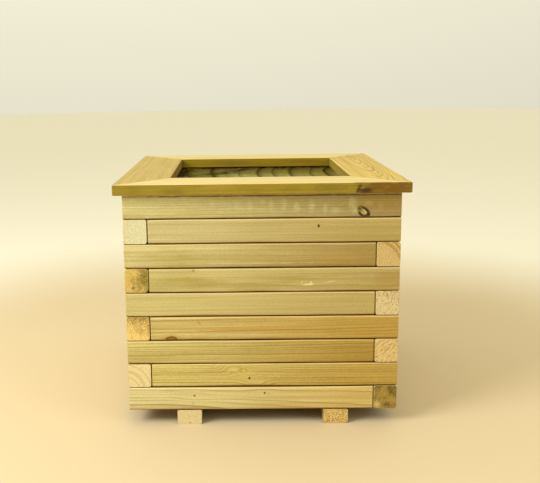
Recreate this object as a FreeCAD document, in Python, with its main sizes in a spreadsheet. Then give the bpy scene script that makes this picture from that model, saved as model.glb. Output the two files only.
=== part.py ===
"""Square garden planter of pressure-treated softwood, built like a log cabin.

Courses of square battens are stacked on two runners.  In every course but the top one the four battens
chase each other round the box: each runs out past one corner and butts against its neighbour at the
next.  The course above runs the other way round, so the corners interlock and show an end and a side
by turns.  The top course has a front and a back rail of the full width with the side rails between
them.  A mitred cap frame covers the top, and a floor of slats with drainage gaps lies on the runners
inside the bottom course.  Each course is screwed down to the one below before the next one hides the
screw heads.

Frame: millimetres, +Z up, the front of the planter facing -Y, the origin on the ground at its middle.
"""

import FreeCAD, Part
import Sketcher
import os

# Driving lengths: name, millimetres, and what it is.
LENGTHS = (
    ("box_side", 495, "outside of the batten box, the same both ways"),
    ("batten_depth", 42.5, "batten across the wall"),
    ("batten_height", 45, "batten up the wall, one course"),
    ("batten_edge_radius", 4, "eased long edges of a batten"),
    ("butt_gap", 1.5, "gap where a batten's sawn end faces its neighbour"),
    ("cap_width", 95, "cap board across its length"),
    ("cap_thickness", 19, "cap board"),
    ("cap_overhang", 14.5, "cap past the outside of the box"),
    ("cap_edge_radius", 2, "eased long edges of a cap board"),
    ("runner_width", 45, "runner across its length"),
    ("runner_height", 28, "runner, and so the box's height off the ground"),
    ("runner_edge_radius", 4, "eased long edges of a runner"),
    ("runner_inset", 89.5, "outside of the box to the outer side of a runner"),
    ("slat_thickness", 20, "floor slat"),
    ("slat_edge_radius", 2, "eased long edges of a slat"),
    ("slat_gap", 4, "drainage gap beside a slat"),
    ("slat_end_clearance", 2, "slat's end to the wall"),
    ("slat_screw_inset", 22, "slat's long edge to its screws"),
    ("screw_head", 9.4, "countersunk head across the top"),
    ("screw_shank", 3.6, "screw below the head"),
    ("screw_tip", 6, "pointed end of a screw"),
    ("screw_sink", 0.5, "screw head below the timber's face"),
    ("screw_slack", 0.9, "shank to the wall of its clearance hole"),
    ("screw_stagger", 8, "corner screw past the middle of its corner"),
    ("screw_end_inset", 30, "screw from a butted end"),
    ("wall_screw_bite", 25, "wall screw in the course below"),
    ("runner_screw_bite", 30, "runner screw in the bottom course"),
    ("floor_screw_bite", 18, "floor screw in a runner"),
    ("top_screw_shift", 45, "far screw of a top side rail, from the usual inset"),
    ("nail_diameter", 1.6, "headless nail of the cap"),
    ("nail_tip", 2, "pointed end of a nail"),
    ("nail_sink", 1, "nail below the cap's face"),
    ("nail_bite", 30, "nail in the top course"),
    ("nail_shift", 20, "outer nails from the top course's screws"),
)

# Driving counts: name, how many, and of what.
COUNTS = (
    ("course_count", 9, "courses of battens, three or more"),
    ("slat_count", 4, "floor slats, two or more"),
)

SIDES = ("front", "right", "back", "left")
FULL_TURN = 360
QUARTER_TURN = FULL_TURN / len(SIDES)

# A right-angled countersink: a head's cone is as deep as it is wide.
COUNTERSINK_ANGLE = 90

# The sketcher's own numbers for a line's ends, a circle's centre, the axes and the origin.
START, END, CENTRE = range(1, 4)
UPRIGHT_AXIS, FLAT_AXIS = range(-2, 0)
ORIGIN = (FLAT_AXIS, START)

# Sizes worked out from the driving ones, as expressions that every feature shares.
HALF_SIDE = "(sizes.box_side / 2)"
WALL_LINE = "(sizes.box_side / 2 - sizes.batten_depth / 2)"
BATTEN_LENGTH = "(sizes.box_side - sizes.batten_depth - sizes.butt_gap)"
BUTT_LINE = "(sizes.box_side / 2 - sizes.batten_depth - sizes.butt_gap)"
INNER_SIDE = "(sizes.box_side - 2 * sizes.batten_depth)"
CORNER_INSET = "(sizes.batten_depth / 2 + sizes.screw_stagger)"
USUAL_SCREW = f"({BUTT_LINE} - sizes.screw_end_inset)"
FAR_TOP_SCREW = f"({USUAL_SCREW} - sizes.top_screw_shift)"
OUTER_NAIL = f"({USUAL_SCREW} - sizes.nail_shift)"
RUNNER_LINE = "(sizes.box_side / 2 - sizes.runner_inset - sizes.runner_width / 2)"
SLAT_LENGTH = f"({INNER_SIDE} - 2 * sizes.slat_end_clearance)"
SLAT_PITCH = f"(({INNER_SIDE} - sizes.slat_gap) / sizes.slat_count)"
SLAT_WIDTH = f"({SLAT_PITCH} - sizes.slat_gap)"
SLAT_SCREW_LINE = f"({SLAT_WIDTH} / 2 - sizes.slat_screw_inset)"
CAP_SIDE = "(sizes.box_side + 2 * sizes.cap_overhang)"
CAP_INSIDE = f"({CAP_SIDE} - 2 * sizes.cap_width)"
CLEARANCE_HOLE = "(sizes.screw_shank + 2 * sizes.screw_slack)"
COUNTERSINK = "(sizes.screw_head + 2 * sizes.screw_sink)"
WALL_SCREW_LENGTH = "(sizes.batten_height + sizes.wall_screw_bite - sizes.screw_sink)"

doc = FreeCAD.newDocument("square_planter")
sheet = doc.addObject("Spreadsheet::Sheet", "sizes")
for row, (alias, amount, meaning) in enumerate(LENGTHS + COUNTS, 1):
    sheet.set(f"A{row}", alias)
    sheet.set(f"B{row}", str(amount))
    sheet.set(f"C{row}", meaning)
    sheet.setAlias(f"B{row}", alias)
doc.recompute()

sub_parts = []


def number(expression):
    """The present value of an expression in the sheet's sizes."""
    return float(sheet.evalExpression(expression))


# Where things stand


def course_base(course):
    """Height of the underside of a course, counted from 1 at the bottom."""
    return f"(sizes.runner_height + {course - 1} * sizes.batten_height)"


def handing(course):
    """1 where the front batten runs out at the left corner, -1 where it runs out at the right one."""
    return 1 if course % 2 else -1


def signed(sign, expression):
    return expression if sign > 0 else f"(-{expression})"


def on_side(side, along, outward):
    """X and Y of a point `along` a wall, rightwards as seen from outside, and `outward` from the middle."""
    return {
        "front": (along, f"-{outward}"),
        "right": (outward, along),
        "back": (f"-{along}", outward),
        "left": (f"-{outward}", f"-{along}"),
    }[side]


def slat_lines():
    """Y of the middle of each slat, from the front to the back."""
    first = f"(sizes.slat_gap + {SLAT_WIDTH} / 2 - {INNER_SIDE} / 2)"
    return [f"({first} + {index} * {SLAT_PITCH})" for index in range(round(number("sizes.slat_count")))]


# Bodies and sketches


def origin_feature(body, role):
    return next(feature for feature in body.Origin.OriginFeatures if feature.Role == role)


def new_body(label):
    body = doc.addObject("PartDesign::Body", label)
    body.Label = label
    sub_parts.append(body)
    return body


def place(body, x="0", y="0", z="0", turn=0, axis=(0, 0, 1)):
    """Turns the body, then ties where it stands to the sheet."""
    body.Placement = FreeCAD.Placement(FreeCAD.Vector(), FreeCAD.Rotation(FreeCAD.Vector(*axis), turn))
    for name, expression in zip("xyz", (x, y, z)):
        body.setExpression(f"Placement.Base.{name}", expression)


def place_on_wall(body, course, side, start):
    """Stands a batten in its wall, its first sawn end `start` from the wall's middle."""
    hand = handing(course)
    turn = QUARTER_TURN * SIDES.index(side) + (0 if hand > 0 else FULL_TURN / 2)
    x, y = on_side(side, signed(-hand, start), WALL_LINE)
    place(body, x, y, course_base(course), turn)


def new_sketch(body, name, role, **offsets):
    """A sketch on one of the body's own planes; an offset ties x, y or z of its attachment."""
    sketch = body.newObject("Sketcher::SketchObject", name)
    sketch.AttachmentSupport = (origin_feature(body, role), [""])
    sketch.MapMode = "FlatFace"
    for direction, expression in offsets.items():
        sketch.setExpression(f"AttachmentOffset.Base.{direction}", expression)
    return sketch


def fix(sketch, kind, *places):
    sketch.addConstraint(Sketcher.Constraint(kind, *places))


def size(sketch, kind, name, expression, *places):
    """A dimension of the sketch, tied to the sheet."""
    index = sketch.addConstraint(Sketcher.Constraint(kind, *places, number(expression)))
    sketch.renameConstraint(index, name)
    sketch.setExpression(f"Constraints.{name}", expression)


def outline(sketch, corners):
    """A closed run of straight lines through the corners."""
    points = [FreeCAD.Vector(x, y, 0) for x, y in corners]
    for start, end in zip(points, points[1:] + points[:1]):
        sketch.addGeometry(Part.LineSegment(start, end))
    for line in range(len(points)):
        fix(sketch, "Coincident", line, END, (line + 1) % len(points), START)


def locate(sketch, circle, x, y):
    """Ties a circle's centre to the sketch's origin, at an X and a Y of either sign."""
    for kind, axis, expression in (("DistanceX", UPRIGHT_AXIS, x), ("DistanceY", FLAT_AXIS, y)):
        amount = number(expression)
        if amount > 0:
            size(sketch, kind, f"{kind}_{circle}", expression, *ORIGIN, circle, CENTRE)
        elif amount < 0:
            size(sketch, kind, f"{kind}_{circle}", f"(-{expression})", circle, CENTRE, *ORIGIN)
        else:
            fix(sketch, "PointOnObject", circle, CENTRE, axis)


# Timber


def ease_long_edges(body, base, radius):
    """Rounds the four edges that run along the timber."""
    doc.recompute()
    lengthways = FreeCAD.Vector(1, 0, 0)
    eased = body.newObject("PartDesign::Fillet", "eased_edges")
    eased.Base = (base, [
        f"Edge{index}"
        for index, edge in enumerate(base.Shape.Edges, 1)
        if edge.tangentAt(edge.FirstParameter).cross(lengthways).Length < Part.Precision.confusion()
    ])
    eased.setExpression("Radius", radius)
    doc.recompute()


def timber(label, length, width, height, edge_radius):
    """A straight length of planed timber: X along it from a sawn end, centred on Y, standing on Z = 0."""
    body = new_body(label)
    sketch = new_sketch(body, "section", "YZ_Plane")
    half, top = number(width) / 2, number(height)
    outline(sketch, [(-half, 0), (half, 0), (half, top), (-half, top)])
    for line, kind in enumerate(("Horizontal", "Vertical", "Horizontal", "Vertical")):
        fix(sketch, kind, line)
    fix(sketch, "Symmetric", 0, START, 0, END, *ORIGIN)
    size(sketch, "DistanceX", "width", width, 0, START, 0, END)
    size(sketch, "DistanceY", "height", height, 1, START, 1, END)
    sawn = body.newObject("PartDesign::Pad", "sawn_length")
    sawn.Profile = sketch
    sawn.setExpression("Length", length)
    ease_long_edges(body, sawn, edge_radius)
    return body


def drill(body, name, places, diameter, top=None, depth=None, countersink=None):
    """Holes at the given X and Y, down from the height `top`, or up from the underside where there is none.

    They go to a depth, or right through, and open in a countersink where its width is given."""
    whole = body.Shape.Volume
    sketch = new_sketch(body, f"{name}_places", "XY_Plane", z=top or "0")
    for circle, (x, y) in enumerate(places):
        centre = FreeCAD.Vector(number(x), number(y), 0)
        sketch.addGeometry(Part.Circle(centre, FreeCAD.Vector(0, 0, 1), number(diameter) / 2))
        size(sketch, "Diameter", f"across_{circle}", diameter, circle)
        locate(sketch, circle, x, y)
    doc.recompute()
    holes = body.newObject("PartDesign::Hole", name)
    holes.Profile = sketch
    holes.ThreadType = "None"
    holes.DrillPoint = "Flat"
    holes.Reversed = top is None
    holes.setExpression("Diameter", diameter)
    holes.DepthType = "Dimension" if depth else "ThroughAll"
    if depth:
        holes.setExpression("Depth", depth)
    if countersink:
        holes.HoleCutType = "Countersink"
        holes.HoleCutCustomValues = True
        holes.HoleCutCountersinkAngle = COUNTERSINK_ANGLE
        holes.setExpression("HoleCutDiameter", countersink)
    doc.recompute()
    if not body.Shape.Volume < whole:
        raise RuntimeError(f"{body.Label}: {name} removed nothing")


def batten(label, length):
    return timber(label, length, "sizes.batten_depth", "sizes.batten_height", "sizes.batten_edge_radius")


def drill_screw_holes(body, along):
    """A batten's own countersunk holes, on its centre line."""
    places = [(x, "0") for x in along]
    drill(body, "screw_holes", places, CLEARANCE_HOLE, top="sizes.batten_height", countersink=COUNTERSINK)


def wall_batten(course, side, under_top):
    """One batten of an interlocked course, from the corner that it runs out past to its butted end."""
    body = batten(f"course_{course}_{side}_batten", BATTEN_LENGTH)
    place_on_wall(body, course, side, HALF_SIDE)
    if course > 1:
        drill_screw_holes(body, [CORNER_INSET, f"({BATTEN_LENGTH} - sizes.screw_end_inset)"])
    pilots = [("(sizes.batten_depth + sizes.butt_gap + sizes.screw_end_inset)", "0")]
    beside_top_rail = side in ("left", "right")
    if beside_top_rail or not under_top:
        pilots.append(("(sizes.batten_depth / 2)", signed(handing(course), "sizes.screw_stagger")))
    if beside_top_rail and under_top:
        pilots.append((f"({HALF_SIDE} + {FAR_TOP_SCREW})", "0"))
    drill(body, "pilot_holes", pilots, "sizes.screw_shank",
          top="sizes.batten_height", depth="sizes.wall_screw_bite")
    if course == 1 and side in ("front", "back"):
        feet = [(f"({HALF_SIDE} - {RUNNER_LINE})", "0"), (f"({HALF_SIDE} + {RUNNER_LINE})", "0")]
        drill(body, "runner_pilot_holes", feet, "sizes.screw_shank", depth="sizes.runner_screw_bite")


def top_rail(course, side):
    """One rail of the top course: front and back run the full width, the sides fit between them."""
    full_width = side in ("front", "back")
    start = HALF_SIDE if full_width else BUTT_LINE
    body = batten(f"course_{course}_{side}_rail", f"(2 * {start})")
    place_on_wall(body, course, side, start)
    near = CORNER_INSET if full_width else f"({start} - {FAR_TOP_SCREW})"
    drill_screw_holes(body, [near, f"({start} + {USUAL_SCREW})"])
    nails = [(f"({start} - {OUTER_NAIL})", "0"), (start, "0"), (f"({start} + {OUTER_NAIL})", "0")]
    drill(body, "nail_holes", nails, "sizes.nail_diameter", top="sizes.batten_height", depth="sizes.nail_bite")


def cap_board(side, wall_top):
    """One mitred board of the cap frame, drawn where it lies about the planter's middle."""
    body = new_body(f"cap_{side}_board")
    sketch = new_sketch(body, "mitred_outline", "XY_Plane")
    outer, inner = number(CAP_SIDE) / 2, number(CAP_INSIDE) / 2
    outline(sketch, [(-outer, -outer), (outer, -outer), (inner, -inner), (-inner, -inner)])
    for line in (0, 2):
        fix(sketch, "Symmetric", line, START, line, END, UPRIGHT_AXIS)
    size(sketch, "DistanceX", "outer_edge", CAP_SIDE, 0, START, 0, END)
    size(sketch, "DistanceX", "inner_edge", CAP_INSIDE, 2, END, 2, START)
    size(sketch, "DistanceY", "width", "sizes.cap_width", 1, START, 1, END)
    size(sketch, "DistanceY", "from_middle", f"({CAP_SIDE} / 2)", 0, START, *ORIGIN)
    board = body.newObject("PartDesign::Pad", "thickness")
    board.Profile = sketch
    board.setExpression("Length", "sizes.cap_thickness")
    ease_long_edges(body, board, "sizes.cap_edge_radius")
    nails = [on_side("front", along, WALL_LINE) for along in (f"(-{OUTER_NAIL})", "0", OUTER_NAIL)]
    drill(body, "nail_holes", nails, "sizes.nail_diameter", top="sizes.cap_thickness")
    place(body, z=wall_top, turn=QUARTER_TURN * SIDES.index(side))


def runner(label, hand):
    """A runner under the box from front to back, screwed up into the bottom course and carrying the floor."""
    body = timber(label, "sizes.box_side", "sizes.runner_width", "sizes.runner_height",
                  "sizes.runner_edge_radius")
    place(body, signed(hand, RUNNER_LINE), f"-{HALF_SIDE}", turn=QUARTER_TURN)
    ends = [(f"({HALF_SIDE} - {WALL_LINE})", "0"), (f"({HALF_SIDE} + {WALL_LINE})", "0")]
    drill(body, "screw_holes", ends, CLEARANCE_HOLE, countersink=COUNTERSINK)
    floor = [
        (f"({HALF_SIDE} + {line} + {sign} * {SLAT_SCREW_LINE})", "0")
        for line in slat_lines()
        for sign in (-1, 1)
    ]
    drill(body, "floor_pilot_holes", floor, "sizes.screw_shank",
          top="sizes.runner_height", depth="sizes.floor_screw_bite")


def floor_slat(index, line):
    """A floor slat from side to side, lying on both runners."""
    body = timber(f"floor_slat_{index}", SLAT_LENGTH, SLAT_WIDTH, "sizes.slat_thickness",
                  "sizes.slat_edge_radius")
    place(body, f"-({SLAT_LENGTH} / 2)", line, "sizes.runner_height")
    screws = [
        (f"({SLAT_LENGTH} / 2 + {end} * {RUNNER_LINE})", signed(edge, SLAT_SCREW_LINE))
        for end in (-1, 1)
        for edge in (-1, 1)
    ]
    drill(body, "screw_holes", screws, CLEARANCE_HOLE, top="sizes.slat_thickness", countersink=COUNTERSINK)


# Screws and nails


def turned(body, name, x, y, length, shank, tip, head=None):
    """A screw or nail, its top at Z = 0 and its point down, turned about an upright axis through X, Y."""
    sketch = new_sketch(body, f"{name}_profile", "XZ_Plane", x=x, z=f"-({y})")
    radius, depth, point = number(shank) / 2, number(length), number(tip)
    cone = [(number(head) / 2, 0), (radius, radius - number(head) / 2)] if head else [(radius, 0)]
    outline(sketch, [(0, 0), *cone, (radius, point - depth), (0, -depth)])
    side = len(cone)
    axis = side + 2
    fix(sketch, "Horizontal", 0)
    fix(sketch, "Coincident", 0, START, *ORIGIN)
    fix(sketch, "Vertical", side)
    fix(sketch, "PointOnObject", axis, START, UPRIGHT_AXIS)
    size(sketch, "DistanceY", "length", length, axis, START, *ORIGIN)
    size(sketch, "DistanceY", "tip", tip, axis, START, side, END)
    size(sketch, "DistanceX", "shank", f"({shank} / 2)", *ORIGIN, side, END)
    if head:
        size(sketch, "DistanceX", "head", f"({head} / 2)", 0, START, 0, END)
        size(sketch, "DistanceY", "cone", f"({head} / 2 - {shank} / 2)", 1, END, 1, START)
    solid = body.newObject("PartDesign::Revolution", name)
    solid.Profile = sketch
    solid.ReferenceAxis = (sketch, ["V_Axis"])
    solid.Angle = FULL_TURN
    doc.recompute()
    return solid


def screw(body, name, x, y, length):
    return turned(body, name, x, y, length, "sizes.screw_shank", "sizes.screw_tip", "sizes.screw_head")


def around(body, name, features, copies):
    """Copies the features evenly about the planter's upright axis."""
    pattern = body.newObject("PartDesign::PolarPattern", name)
    pattern.Originals = features
    pattern.Axis = (origin_feature(body, "Z_Axis"), [""])
    pattern.Angle = FULL_TURN
    pattern.Occurrences = copies
    body.Tip = pattern
    doc.recompute()


def repeat(body, name, role, spacing, copies):
    """Copies all that the body holds along one of its axes."""
    pattern = body.newObject("PartDesign::LinearPattern", name)
    pattern.TransformMode = "Whole shape"
    pattern.Direction = (origin_feature(body, role), [""])
    pattern.Mode = "Spacing"
    pattern.setExpression("Offset", spacing)
    pattern.Occurrences = copies
    body.Tip = pattern
    doc.recompute()


def wall_screws(label, courses):
    """The screws of the interlocked courses that run one way round: a corner and an end screw a batten."""
    body = new_body(label)
    hand = handing(courses[0])
    corner = signed(-hand, f"({HALF_SIDE} - {CORNER_INSET})")
    made = [
        screw(body, f"{name}_screw", *on_side("front", along, WALL_LINE), WALL_SCREW_LENGTH)
        for name, along in (("corner", corner), ("end", signed(hand, USUAL_SCREW)))
    ]
    around(body, "four_walls", made, len(SIDES))
    if len(courses) > 1:
        repeat(body, "every_other_course", "Z_Axis", "(2 * sizes.batten_height)", len(courses))
    place(body, z=f"({course_base(courses[0] + 1)} - sizes.screw_sink)")


def top_screws(course):
    """The screws of the top course: two a rail, those of the sides clear of the ones in the course below."""
    body = new_body("top_course_screws")
    hand = handing(course)
    usual = on_side("front", signed(hand, USUAL_SCREW), WALL_LINE)
    corner = on_side("front", signed(-hand, f"({HALF_SIDE} - {CORNER_INSET})"), WALL_LINE)
    far = on_side("right", signed(-hand, FAR_TOP_SCREW), WALL_LINE)
    for name, spot, copies in (("usual", usual, 4), ("corner", corner, 2), ("far", far, 2)):
        made = screw(body, f"{name}_screw", *spot, WALL_SCREW_LENGTH)
        around(body, f"{name}_screws", [made], copies)
    place(body, z=f"({course_base(course + 1)} - sizes.screw_sink)")


def runner_screws():
    """Screws driven up through the runners, so the group is made head up and turned over."""
    body = new_body("runner_screws")
    length = "(sizes.runner_height + sizes.runner_screw_bite - sizes.screw_sink)"
    for name, sign in (("left", -1), ("right", 1)):
        screw(body, f"{name}_screw", signed(sign, RUNNER_LINE), f"-{WALL_LINE}", length)
    repeat(body, "both_ends", "Y_Axis", f"(2 * {WALL_LINE})", 2)
    place(body, z="sizes.screw_sink", turn=FULL_TURN / 2, axis=(1, 0, 0))


def floor_screws():
    """Four screws a slat, two into each runner."""
    body = new_body("floor_screws")
    length = "(sizes.slat_thickness + sizes.floor_screw_bite - sizes.screw_sink)"
    lines = slat_lines()
    for run, run_sign in (("left", -1), ("right", 1)):
        for edge, edge_sign in (("front", -1), ("back", 1)):
            y = f"({lines[0]} + {edge_sign} * {SLAT_SCREW_LINE})"
            screw(body, f"{run}_{edge}_screw", signed(run_sign, RUNNER_LINE), y, length)
    repeat(body, "every_slat", "Y_Axis", SLAT_PITCH, len(lines))
    place(body, z="(sizes.runner_height + sizes.slat_thickness - sizes.screw_sink)")


def cap_nails(wall_top):
    """Headless nails, three a board, punched just below the cap's face."""
    body = new_body("cap_nails")
    length = "(sizes.cap_thickness + sizes.nail_bite - sizes.nail_sink)"
    made = [
        turned(body, f"{name}_nail", *on_side("front", along, WALL_LINE), length,
               "sizes.nail_diameter", "sizes.nail_tip")
        for name, along in (("left", f"(-{OUTER_NAIL})"), ("middle", "0"), ("right", OUTER_NAIL))
    ]
    around(body, "four_boards", made, len(SIDES))
    place(body, z=f"({wall_top} + sizes.cap_thickness - sizes.nail_sink)")


# The planter, from the ground up


def build():
    top_course = round(number("sizes.course_count"))
    wall_top = course_base(top_course + 1)
    for label, hand in (("left_runner", -1), ("right_runner", 1)):
        runner(label, hand)
    for index, line in enumerate(slat_lines(), 1):
        floor_slat(index, line)
    for course in range(1, top_course):
        for side in SIDES:
            wall_batten(course, side, under_top=course == top_course - 1)
    for side in SIDES:
        top_rail(top_course, side)
        cap_board(side, wall_top)
    for label, first in (("even_course_screws", 2), ("odd_course_screws", 3)):
        courses = range(first, top_course, 2)
        if courses:
            wall_screws(label, courses)
    top_screws(top_course)
    runner_screws()
    floor_screws()
    cap_nails(wall_top)


def check():
    """Stops before anything is written if a feature failed or a sub-part isn't sound."""
    doc.recompute()
    for item in doc.Objects:
        if {"Invalid", "Error"} & set(item.State):
            raise RuntimeError(f"{item.Label} failed: {item.State}")
    for body in sub_parts:
        if body.Shape.isNull() or not body.Shape.isValid() or not body.Shape.Solids:
            raise RuntimeError(f"{body.Label} has no sound shape")


build()
check()
os.makedirs("parts", exist_ok=True)
for body in sub_parts:
    body.Shape.exportStep(f"parts/{body.Label}.step")
print(f"{len(sub_parts)} sub-parts, {sum(len(body.Shape.Solids) for body in sub_parts)} solids")
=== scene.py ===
"""Looks of the square planter: every length of timber as its own piece of pressure-treated pine.

The wall timbers and the cap boards are meshed in the place of their CAD nodes, with eased edges that
wander, sawn arrises and a little bow.  The runners, floor slats and fasteners are shown as their CAD
nodes.  A timber's material is solid wood: growth rings round a pith line, so that its faces and sawn ends
agree, with knots, stains and marks where the real timbers have them.  Painted shade and painted highlights
lie on its edges and where the timbers meet, and painted shadows under the cap, along its lower front edge
and inside the back; the front timbers' right ends carry painted shade, and the inside of the back rail
painted light.  Features of a timber are in millimetres in its own frame: along it to the right as seen
from outside, from the planter's middle; across it inwards and up, from the timber's middle.
"""

import math
import random
from dataclasses import dataclass, field, replace

import bpy
from mathutils import Matrix, Vector, noise

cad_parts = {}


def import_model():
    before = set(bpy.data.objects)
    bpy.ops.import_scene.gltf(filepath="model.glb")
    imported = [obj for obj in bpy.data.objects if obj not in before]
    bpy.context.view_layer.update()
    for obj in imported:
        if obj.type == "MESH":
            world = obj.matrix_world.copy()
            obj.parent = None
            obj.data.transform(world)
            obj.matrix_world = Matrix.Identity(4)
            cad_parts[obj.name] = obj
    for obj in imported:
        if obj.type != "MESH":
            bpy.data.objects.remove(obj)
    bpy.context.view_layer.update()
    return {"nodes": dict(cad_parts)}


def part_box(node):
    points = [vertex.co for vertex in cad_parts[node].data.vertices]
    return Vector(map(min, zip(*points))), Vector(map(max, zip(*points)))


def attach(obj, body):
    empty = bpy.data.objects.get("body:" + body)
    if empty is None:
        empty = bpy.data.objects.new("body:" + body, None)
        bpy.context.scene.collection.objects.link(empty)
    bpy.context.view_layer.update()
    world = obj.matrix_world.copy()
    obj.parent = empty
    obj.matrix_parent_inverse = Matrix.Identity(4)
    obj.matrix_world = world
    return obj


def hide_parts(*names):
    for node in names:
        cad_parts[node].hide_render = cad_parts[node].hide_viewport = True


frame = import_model()

MM = 0.001
SIDES = ("front", "right", "back", "left")
COURSES = 9
SLATS = 4
QUARTER_TURN = math.radians(90)


# Colours, as they look on screen

SCREEN_WHITE = 255
DARK_END_SHARE = 0.04045
DARK_SLOPE = 12.92
SCREEN_OFFSET = 0.055
SCREEN_POWER = 2.4


def linear(part):
    """One part of a screen colour, 0 to 255, as the light that it stands for, 0 to 1."""
    screen_share = part / SCREEN_WHITE
    if screen_share <= DARK_END_SHARE:
        return screen_share / DARK_SLOPE
    return ((screen_share + SCREEN_OFFSET) / (1 + SCREEN_OFFSET)) ** SCREEN_POWER


def colour(red, green, blue):
    """Screen red, green and blue, 0 to 255, as the linear colour that a shader takes."""
    return (linear(red), linear(green), linear(blue), 1.0)


WHITE = colour(255, 255, 255)
STRAW = colour(204, 186, 120)
CREAM = colour(240, 218, 152)
HONEY = colour(182, 146, 66)
OLIVE = colour(158, 138, 50)
MOSS = colour(108, 90, 24)
AMBER = colour(178, 116, 38)
BROWN = colour(112, 74, 20)
BARK = colour(48, 32, 10)
SCUFF = colour(236, 226, 176)
BLEACHED = colour(224, 216, 158)


# What one timber is like


@dataclass
class Knot:
    """A knot on a face: its middle, half sizes and turn, and how far round it the grain is drawn in."""
    along: float
    up: float
    wide: float
    high: float
    turn: float = 0
    sweep: tuple = (30, 12)
    core: tuple = HONEY
    rim: tuple = BARK
    rim_share: float = 0.85
    rim_width_share: float = 0.2
    face: str = "outer"


@dataclass
class Mark:
    """A stain, streak, scuff or painted shadow on a face: its middle, half sizes and turn, its colour and
    strength.
    """
    along: float
    up: float
    wide: float
    high: float
    tint: tuple
    share: float = 0.5
    turn: float = 0
    face: str = "outer"


@dataclass
class SawnEnd:
    """How a sawn end looks: rings and arcs, torn flecks, saw strokes at an angle, and damp from a side."""
    tint: tuple = CREAM
    line: tuple = AMBER
    line_share: float = 0.3
    arcs: tuple = ()
    arc_share: float = 0.6
    fleck: tuple = BROWN
    fleck_share: float = 0.3
    fleck_side: tuple = (0, 0)
    saw_share: float = 0.2
    saw_turn: float = 40
    damp: tuple = MOSS
    damp_share: float = 0.0
    damp_side: tuple = (0, 0)
    marks: tuple = ()


@dataclass
class Wood:
    """How a timber grew and wore, and where shade and light are painted on it.

    The pith runs beside it and leans by so much per metre.  The early wood turns to the far colour towards
    the right end: a browner tone with painted shade in it.  The outer and inner faces, a cap board's
    narrow ones, are multiplied by the narrow colour.  The radius is that of the eased edges.  Upper edges
    are worn pale with a painted highlight, lower edges brown with damp and painted shade, and faces turned
    up or down take dirt and painted shade where the timbers meet."""
    pith: tuple = (60, -60)
    lean: tuple = (0, 0)
    ring: float = 5.0
    wander: float = 4.0
    early: tuple = STRAW
    late: tuple = HONEY
    late_share: float = 0.5
    stain: tuple = OLIVE
    stain_share: float = 0.25
    # The far colour is a browner tone with painted shade in it, towards the right end.
    far: tuple = HONEY
    far_tone_and_shade_share: float = 0.0
    narrow: tuple = WHITE
    radius: float = 4.2
    # Share of the worn pale upper edges with their painted highlight.
    rubbed_and_lit_share: float = 0.35
    # Share of the brown lower edges, damp with painted shade.
    browned_share: float = 0.5
    # Share of the dirt with painted shade where the timbers meet.
    dirt_and_shade_share: float = 0.9
    knots: tuple = ()
    marks: tuple = ()
    end: SawnEnd = field(default_factory=SawnEnd)


# Shader graphs, with the places of the outputs that are used

NORMAL_OUTPUT = 1
OBJECT_OUTPUT = 3
CLOUD_COLOUR_OUTPUT = 1


class Graph:
    """Nodes of a new material or world.  A value is a number, a colour, a vector or a node's output."""

    def __init__(self, owner):
        owner.use_nodes = True
        self.owner = owner
        self.tree = owner.node_tree

    def feed(self, socket, value):
        if isinstance(value, bpy.types.NodeSocket):
            self.tree.links.new(value, socket)
        else:
            socket.default_value = value

    def shade(self, **values):
        """Sets inputs of the surface's shader, named with underscores for spaces."""
        shader = self.tree.nodes["Principled BSDF"]
        for name, value in values.items():
            self.feed(shader.inputs[name.replace("_", " ")], value)

    def add(self, kind, *values, output=0, **settings):
        """A node with its settings made and its open inputs fed in order."""
        node = self.tree.nodes.new(kind)
        for name, value in settings.items():
            setattr(node, name, value)
        for socket, value in zip([s for s in node.inputs if s.enabled], values):
            self.feed(socket, value)
        return [s for s in node.outputs if s.enabled][output]

    def here(self):
        return self.add("ShaderNodeTexCoord", output=OBJECT_OUTPUT)

    def normal(self):
        return self.add("ShaderNodeTexCoord", output=NORMAL_OUTPUT)

    def math(self, operation, *values):
        return self.add("ShaderNodeMath", *values, operation=operation)

    def vector(self, operation, *values):
        return self.add("ShaderNodeVectorMath", *values, operation=operation)

    def split(self, vector):
        return [self.add("ShaderNodeSeparateXYZ", vector, output=axis) for axis in range(3)]

    def join(self, *parts):
        return self.add("ShaderNodeCombineXYZ", *parts)

    def mix(self, share, first, second, blend="MIX"):
        return self.add("ShaderNodeMix", share, first, second, data_type="RGBA", blend_type=blend)

    def ramp(self, value, low, high, start=0.0, end=1.0):
        """A smooth change from start to end as the value goes from low to high."""
        steps = (low, high, start, end)
        return self.add("ShaderNodeMapRange", value, *steps, interpolation_type="SMOOTHSTEP")

    def noise(self, place, size, detail=2.0, output=0):
        """Cloudy noise whose patches are about the given size each way."""
        shrunk = self.vector("DIVIDE", place, size)
        return self.add("ShaderNodeTexNoise", shrunk, 1.0, detail, output=output)

    def curve(self, value, stops):
        """A curve through the stops, each a place and a height from 0 to 1."""
        node = self.tree.nodes.new("ShaderNodeValToRGB")
        elements = node.color_ramp.elements
        elements.remove(elements[1])
        for index, (place, height) in enumerate(stops):
            element = elements[0] if index == 0 else elements.new(place)
            element.position = place
            element.color = (height, height, height, 1)
        self.feed(node.inputs[0], value)
        return node.outputs[0]

    def bump(self, height, strength, depth):
        node = self.tree.nodes.new("ShaderNodeBump")
        for name, value in (("Strength", strength), ("Distance", depth), ("Height", height)):
            self.feed(node.inputs[name], value)
        return node.outputs[0]


# Wood: noises through a timber, with their sizes in millimetres and where they start and end showing

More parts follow.
